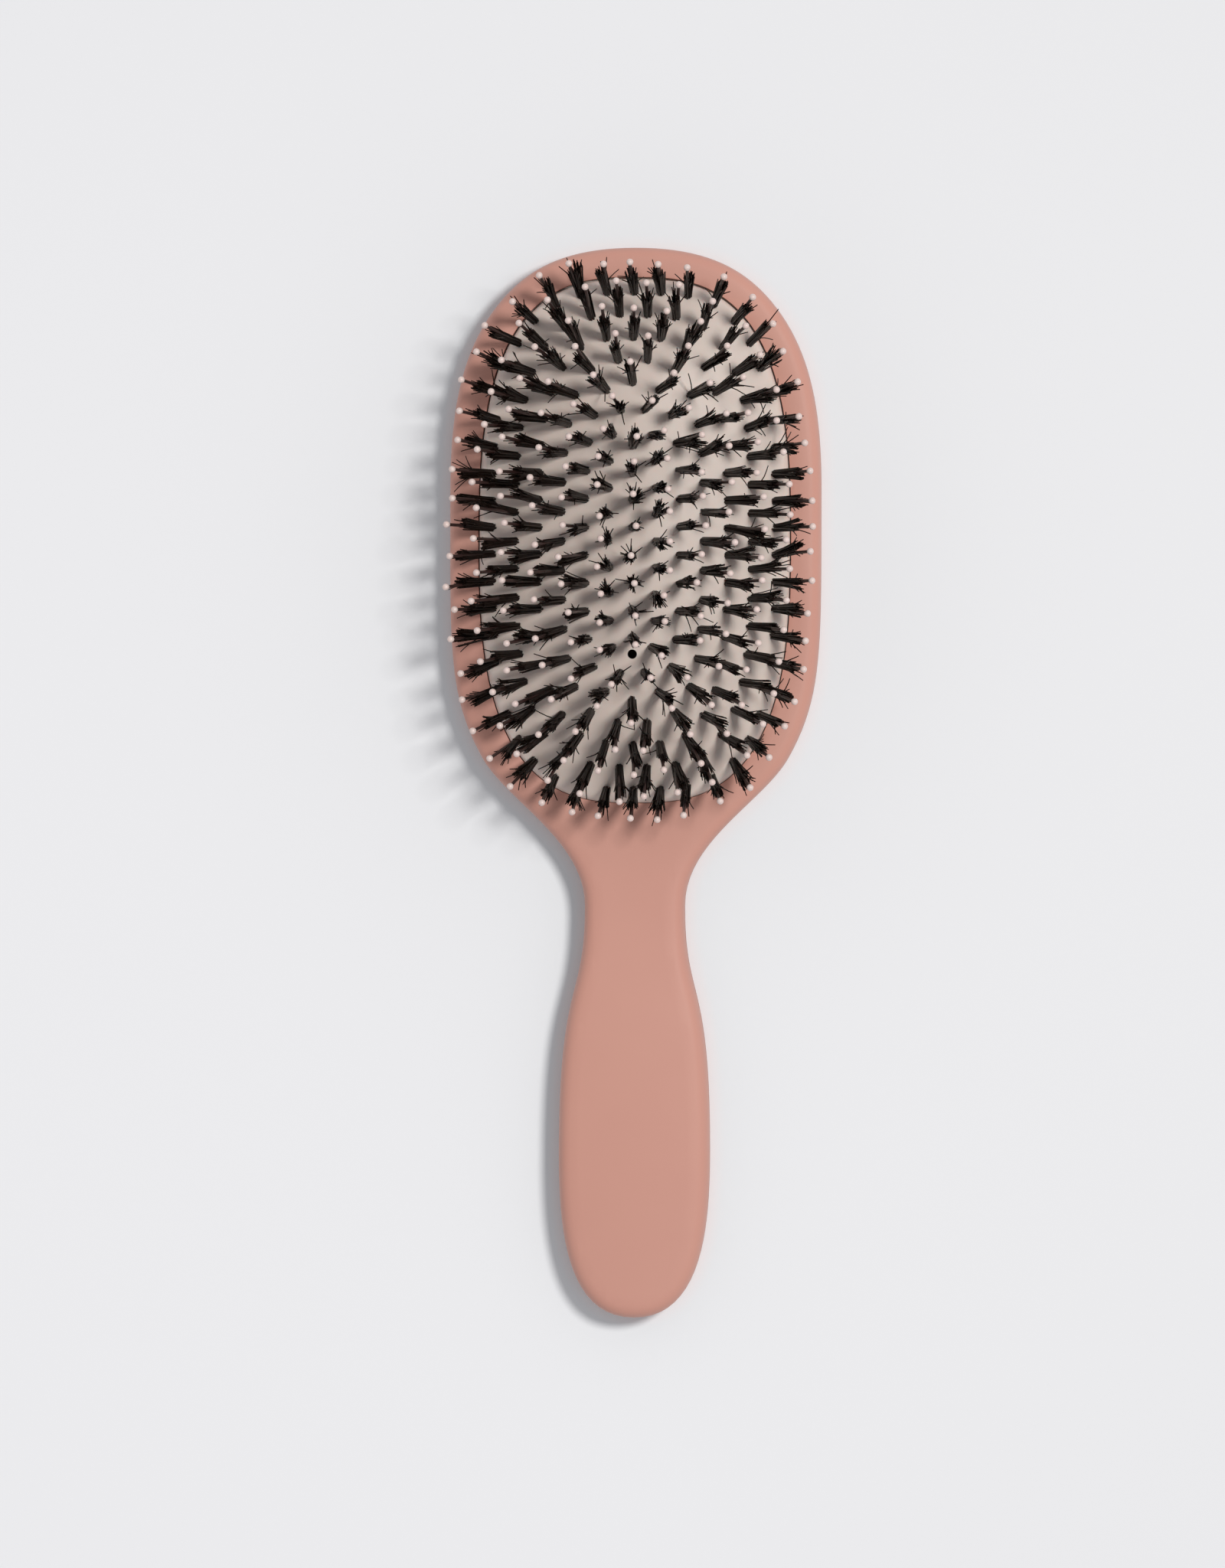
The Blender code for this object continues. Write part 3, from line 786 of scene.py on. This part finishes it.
# One hair, a unit long, with three sides and two joints along it
hair_sides = 3
hair_tip_share = 0.72
hair_joints = (0.4, 0.75)
bpy.ops.object.select_all(action="DESELECT")
bpy.ops.mesh.primitive_cone_add(
    vertices=hair_sides, radius1=1.0, radius2=hair_tip_share, depth=1.0, location=(0.0, 0.0, 0.5)
)
hair = bpy.context.object
bpy.ops.object.transform_apply(location=True)
bpy.ops.object.mode_set(mode="EDIT")
for joint in hair_joints:
    bpy.ops.mesh.select_all(action="SELECT")
    bpy.ops.mesh.bisect(plane_co=(0.0, 0.0, joint), plane_no=(0.0, 0.0, 1.0))
bpy.ops.object.mode_set(mode="OBJECT")
hair_points, hair_faces = pattern(hair)

bundle_hairs = 54
root_depth = 0.0006
root_radius = 0.00084
hair_radius = 0.00018
hair_length = 0.0133
tuft_length_scatter = 0.0005
hair_ragged = 0.00030
hair_bend = 0.00012
hair_curve_power = 1.3
short_share = 0.12
short_lengths = (0.84, 0.97)
flare = 1.2
frays = (0.5, 0.7, 0.9, 1.2, 1.9)
clump_count = 7
clump_ragged = 0.00050
clump_reach = 0.00050
clump_spread = 0.00012
bundle_sway = 0.00065

# Hairs that stand off the bundle: spikes near its end, and strays from its foot or its end
spike_counts = (3, 4, 5, 6, 8)
spike_starts = (0.0060, 0.0092)
spikes_past_end = (-0.0002, 0.0014)
spike_splays = (4, 20)
stray_counts = (0, 1, 1, 2, 3)
low_stray_share = 0.3
low_stray_starts = (0.0020, 0.0060)
low_stray_lengths = (0.0035, 0.0060)
low_stray_splays = (18, 40)
stray_starts = (0.0085, 0.0108)
strays_past_end = (-0.0004, 0.0012)
stray_splays = (15, 38)
stray_root_share = 0.8
stray_radius = 0.00018
stray_bend = 0.0002


def hair_copy(foot, axis, side, across, root, tip, length, radius, bend, start):
    turn = chance.uniform(0.0, 2 * math.pi)
    along = hair_points[:, 2]
    local_x = hair_points[:, 0] * math.cos(turn) - hair_points[:, 1] * math.sin(turn)
    local_y = hair_points[:, 0] * math.sin(turn) + hair_points[:, 1] * math.cos(turn)
    curve = along**hair_curve_power
    kink = bend * along * along
    u = root[0] + (tip[0] - root[0]) * curve + kink * math.cos(turn) + local_x * radius
    v = root[1] + (tip[1] - root[1]) * curve + kink * math.sin(turn) + local_y * radius
    w = start + along * (length - start)
    return (
        np.array(foot)
        + u[:, None] * np.array(side)
        + v[:, None] * np.array(across)
        + w[:, None] * np.array(axis)
    )


def in_circle(radius):
    angle = chance.uniform(0.0, 2 * math.pi)
    reach = radius * math.sqrt(chance.random())
    return reach * math.cos(angle), reach * math.sin(angle)


def bundle_copies(foot, axis, side, across):
    copies = []
    sway = (clipped(bundle_sway), clipped(bundle_sway))
    fray = chance.choice(frays)
    usual_length = hair_length + clipped(tuft_length_scatter)
    clumps = [in_circle(1.0) for _ in range(clump_count)]
    clump_lengths = [clipped(clump_ragged) for _ in clumps]
    for _ in range(bundle_hairs):
        root = in_circle(root_radius)
        nearest = min(
            range(len(clumps)),
            key=lambda number: math.dist(
                clumps[number], (root[0] / root_radius, root[1] / root_radius)
            ),
        )
        clump = clumps[nearest]
        tip = [
            flare * root[number]
            + sway[number]
            + fray * (clump_reach * clump[number] + clipped(clump_spread))
            for number in (0, 1)
        ]
        length = usual_length + clump_lengths[nearest] + fray * clipped(hair_ragged)
        if chance.random() < short_share:
            length *= chance.uniform(*short_lengths)
        copies.append(
            hair_copy(
                foot,
                axis,
                side,
                across,
                root,
                tip,
                length,
                hair_radius,
                clipped(hair_bend) * fray,
                -root_depth,
            )
        )
    spikes = chance.choice(spike_counts)
    for number in range(spikes + chance.choice(stray_counts)):
        angle = chance.uniform(0.0, 2 * math.pi)
        if number < spikes:
            start = chance.uniform(*spike_starts)
            length = usual_length + chance.uniform(*spikes_past_end)
            splay = math.tan(math.radians(chance.uniform(*spike_splays)))
        elif chance.random() < low_stray_share:
            start = chance.uniform(*low_stray_starts)
            length = start + chance.uniform(*low_stray_lengths)
            splay = math.tan(math.radians(chance.uniform(*low_stray_splays)))
        else:
            start = chance.uniform(*stray_starts)
            length = usual_length + chance.uniform(*strays_past_end)
            splay = math.tan(math.radians(chance.uniform(*stray_splays)))
        reach = stray_root_share * root_radius
        root = (
            reach * math.cos(angle) + sway[0] * start / usual_length,
            reach * math.sin(angle) + sway[1] * start / usual_length,
        )
        out = splay * (length - start)
        tip = (root[0] + out * math.cos(angle), root[1] + out * math.sin(angle))
        bend = clipped(stray_bend)
        copies.append(
            hair_copy(foot, axis, side, across, root, tip, length, stray_radius, bend, start)
        )
    return copies


boar_hair, _, shader = grained_material(
    "boar_hair",
    colours=((0.0042, 0.0021, 0.0015), (0.0210, 0.0118, 0.0086)),
    roughness=(0.30, 0.44),
    grains=9000.0,
    patches=900.0,
    bump=0.10,
    bump_depth=0.00002,
)
shader.inputs["Specular IOR Level"].default_value = 0.09

ring_halves = ("tuft_ring_1", "tuft_ring_2", "tuft_ring_3")
for body, places in tufts.items():
    title = body.replace("tuft_", "")
    copies = [copy for place in places for copy in bundle_copies(*place)]
    piece = copies_joined(f"hair_{title}", hair_faces, copies, boar_hair)
    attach(piece, body)
    if body in ring_halves:
        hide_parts(f"boar_tufts_{title}_right", f"boar_tufts_{title}_left")
    else:
        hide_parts(f"boar_tufts_{title}")

# Pins: one dark nylon pin in the middle of each bundle. It is longer than the hairs,
# and its end carries a small ball of pinkish-white resin that tapers onto the pin.
pin_radius = 0.00039
pin_sides = 8
pin_end_start = 0.9
pin_end_width = 0.9
ball_radius = 0.00079
ball_height = pin_reach - ball_radius
ball_sides = 10
ball_rows = 7
ball_tail_start = -0.5
ball_tail_length = 1.6
ball_tail_width = 0.8
bpy.ops.object.select_all(action="DESELECT")
bpy.ops.mesh.primitive_cylinder_add(
    vertices=pin_sides, radius=1.0, depth=1.0, location=(0.0, 0.0, 0.5)
)
stem = bpy.context.object
bpy.ops.object.transform_apply(location=True)
bpy.ops.object.mode_set(mode="EDIT")
bpy.ops.mesh.select_all(action="SELECT")
bpy.ops.mesh.bisect(plane_co=(0.0, 0.0, 0.5), plane_no=(0.0, 0.0, 1.0))
bpy.ops.object.mode_set(mode="OBJECT")
for point in stem.data.vertices:
    if point.co.z > pin_end_start:
        point.co.x *= pin_end_width
        point.co.y *= pin_end_width
stem_points, stem_faces = pattern(stem)

bpy.ops.mesh.primitive_uv_sphere_add(
    segments=ball_sides, ring_count=ball_rows, radius=1.0, location=(0.0, 0.0, 0.0)
)
ball = bpy.context.object
for point in ball.data.vertices:
    if point.co.z < ball_tail_start:
        point.co.z *= ball_tail_length
        point.co.x *= ball_tail_width
        point.co.y *= ball_tail_width
ball_points, ball_faces = pattern(ball)

nylon, _, _ = grained_material(
    "dark_nylon",
    colours=((0.024, 0.0100, 0.0085), (0.038, 0.0160, 0.0135)),
    roughness=(0.30, 0.42),
    grains=6000.0,
    patches=200.0,
    bump=0.08,
    bump_depth=0.00002,
)
resin, _, shader = grained_material(
    "ball_resin",
    colours=((0.685, 0.540, 0.495), (0.730, 0.592, 0.548)),
    roughness=(0.28, 0.38),
    grains=5000.0,
    patches=300.0,
    bump=0.05,
    bump_depth=0.00002,
)
shader.inputs["Subsurface Weight"].default_value = 0.15
shader.inputs["Subsurface Radius"].default_value = (1.0, 0.6, 0.5)
shader.inputs["Subsurface Scale"].default_value = 0.0004


def stood(points, foot, axis, side, across, width, length, height):
    return (
        np.array(foot)
        + points[:, 0:1] * width * np.array(side)
        + points[:, 1:2] * width * np.array(across)
        + (points[:, 2:3] * length + height) * np.array(axis)
    )


for body, places in tufts.items():
    title = body.replace("tuft_", "")
    stems = [
        stood(stem_points, *place, pin_radius, ball_height + root_depth, -root_depth)
        for place in places
    ]
    balls = [stood(ball_points, *place, ball_radius, ball_radius, ball_height) for place in places]
    pins = copies_joined(f"pins_{title}", stem_faces, stems, nylon)
    tips = copies_joined(f"ball_tips_{title}", ball_faces, balls, resin)
    for piece in (pins, tips):
        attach(piece, body)
        if body in ring_halves:
            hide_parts(f"ball_pins_{title}_right", f"ball_pins_{title}_left")
        else:
            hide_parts(f"ball_pins_{title}")
